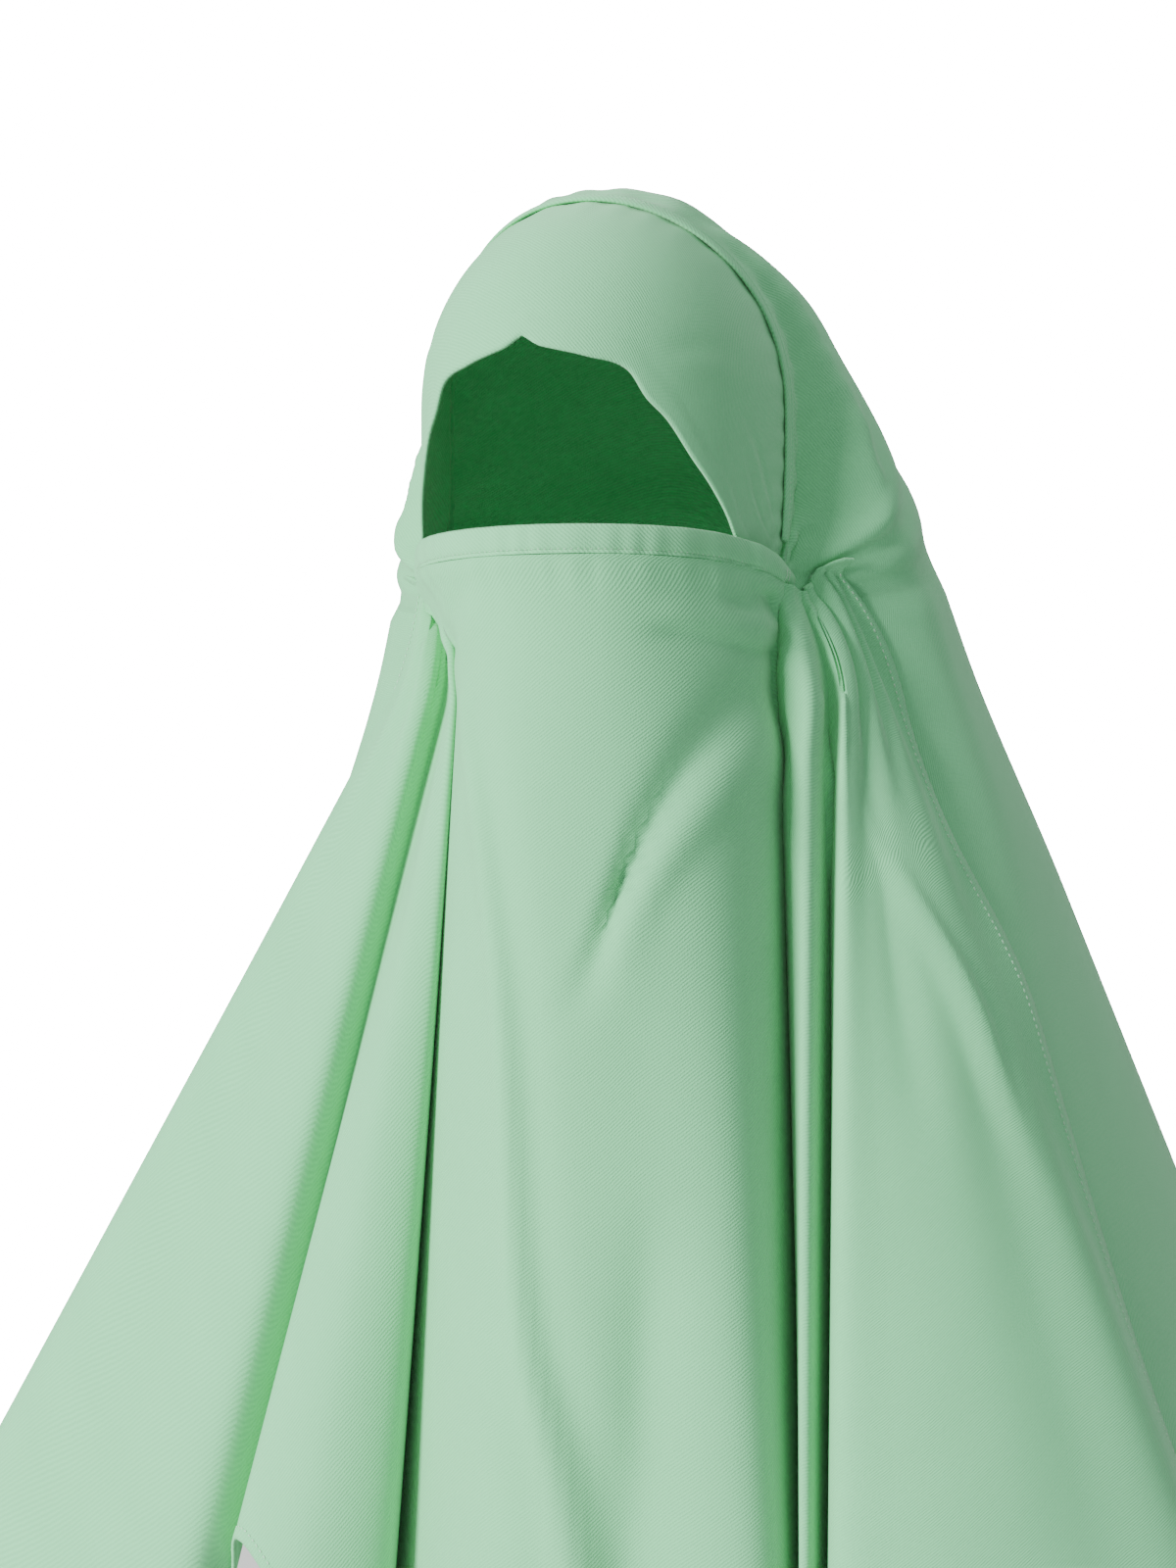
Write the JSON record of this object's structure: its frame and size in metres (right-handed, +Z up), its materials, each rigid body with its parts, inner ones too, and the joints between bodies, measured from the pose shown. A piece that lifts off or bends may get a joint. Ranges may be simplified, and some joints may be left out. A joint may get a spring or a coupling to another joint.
{
  "type": "khimar veil",
  "caption": "Long head covering: a hood that falls behind as a cape, a brow band with an eye opening, and a front cloth gathered at both ears.",
  "frame": {"origin": "inside of the hood's crown, where it rests on the top of the head", "axes": "+Z up along the worn garment, the wearer's face towards -Y, the wearer's left towards +X"},
  "size_m": [0.6386, 0.4447, 0.6813],
  "materials": {
    "sage_crepe": "matte crepe with a fine diagonal twill",
    "band_crepe": "matte crepe, laid double"
  },
  "bodies": {
    "root": {"hood_cape": "sage_crepe", "front_veil": "sage_crepe", "brow_band": "band_crepe", "hood_edge_band": "band_crepe", "veil_casing": "band_crepe"}
  },
  "joints": []
}
